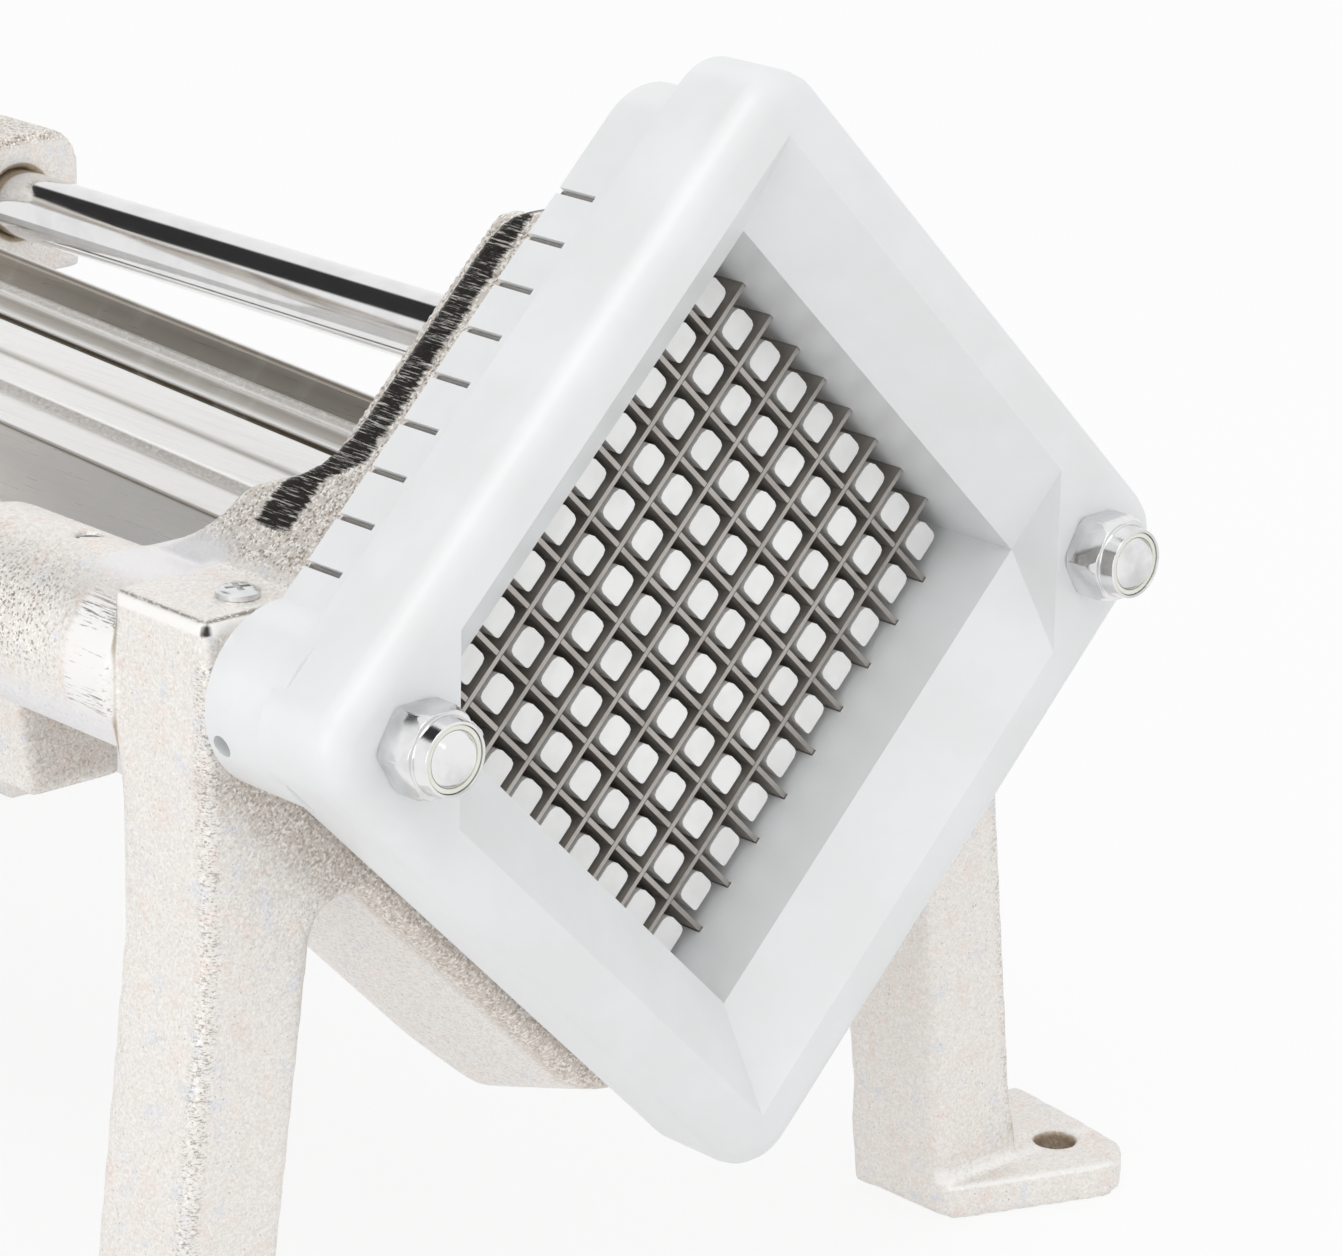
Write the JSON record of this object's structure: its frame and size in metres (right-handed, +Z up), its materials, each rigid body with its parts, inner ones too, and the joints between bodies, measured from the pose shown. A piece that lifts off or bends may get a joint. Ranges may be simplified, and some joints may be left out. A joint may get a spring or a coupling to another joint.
{
  "type": "french fry cutter",
  "caption": "Bench-top lever potato cutter: cast legs carry a V trough, guide rods and a blade grid set on its corner; a lever drives a finger block through the blades.",
  "frame": {"origin": "on the bench, at the centre of the four foot holes", "axes": "+X across the machine, +Y from the blades back to the lever (the thrust runs towards -Y), +Z up"},
  "size_m": [0.262, 0.7561, 0.4369],
  "materials": {
    "casting": "nickel-plated sand casting, fine rough skin",
    "frame_alloy": "pale satin cast alloy",
    "trough": "polished and nickel-plated",
    "chrome_rod": "polished",
    "blade_steel": "satin",
    "bar_steel": "brushed",
    "zinc": "zinc-plated",
    "dark_steel": "plain",
    "nylon": "cream nylon",
    "white_plastic": "satin",
    "bronze": "sintered",
    "black_grip": "matte"
  },
  "bodies": {
    "base": {"front_frame": "casting", "rear_frame": "casting", "guide_rods": "chrome_rod", "trough_wall_left": "trough", "trough_wall_right": "trough", "trough_screws": "zinc", "blade_frame": "frame_alloy", "long_blades": "blade_steel", "cross_blades": "blade_steel", "frame_studs": "zinc", "lock_nuts": "zinc", "lock_nut_rings": "nylon", "stud_lock_screws": "zinc", "rod_set_screws": "dark_steel", "rear_rod_pins": "dark_steel", "fulcrum_shaft": "chrome_rod", "fulcrum_spacers": "dark_steel", "fulcrum_washers": "zinc", "fulcrum_nuts": "zinc"},
    "carriage": {"crosshead": "casting", "slide_bushings": "bronze", "finger_block": "white_plastic", "finger_screws": "zinc", "push_bars": "bar_steel", "bar_bolts": "zinc"},
    "lever_arm": {"lever": "casting", "hub_bushings": "bronze", "roller_pins": "zinc", "roller_clips": "dark_steel", "handle_bar": "chrome_rod", "handle_grip": "black_grip"},
    "left_roller": {"roller_left": "bronze"},
    "right_roller": {"roller_right": "bronze"}
  },
  "joints": [
    {"name": "lever_hinge", "type": "hinge", "parent": "base", "child": "lever_arm", "pos_m": [0, 0.232, 0.21274], "axis": [1, 0, 0], "range_deg": [0, 70]},
    {"name": "carriage_slide", "type": "slide", "parent": "base", "child": "carriage", "axis": [0, 1, 0], "range_m": [0, 0.1516]},
    {"name": "left_roller_spin", "type": "hinge", "parent": "lever_arm", "child": "left_roller", "pos_m": [-0.068, 0.15743, 0.10626], "axis": [1, 0, 0], "continuous": true},
    {"name": "right_roller_spin", "type": "hinge", "parent": "lever_arm", "child": "right_roller", "pos_m": [0.068, 0.15743, 0.10626], "axis": [1, 0, 0], "continuous": true}
  ],
  "couplings": [
    {"joint": "carriage_slide", "follows": "lever_hinge", "m_per_rad": 0.12398}
  ]
}
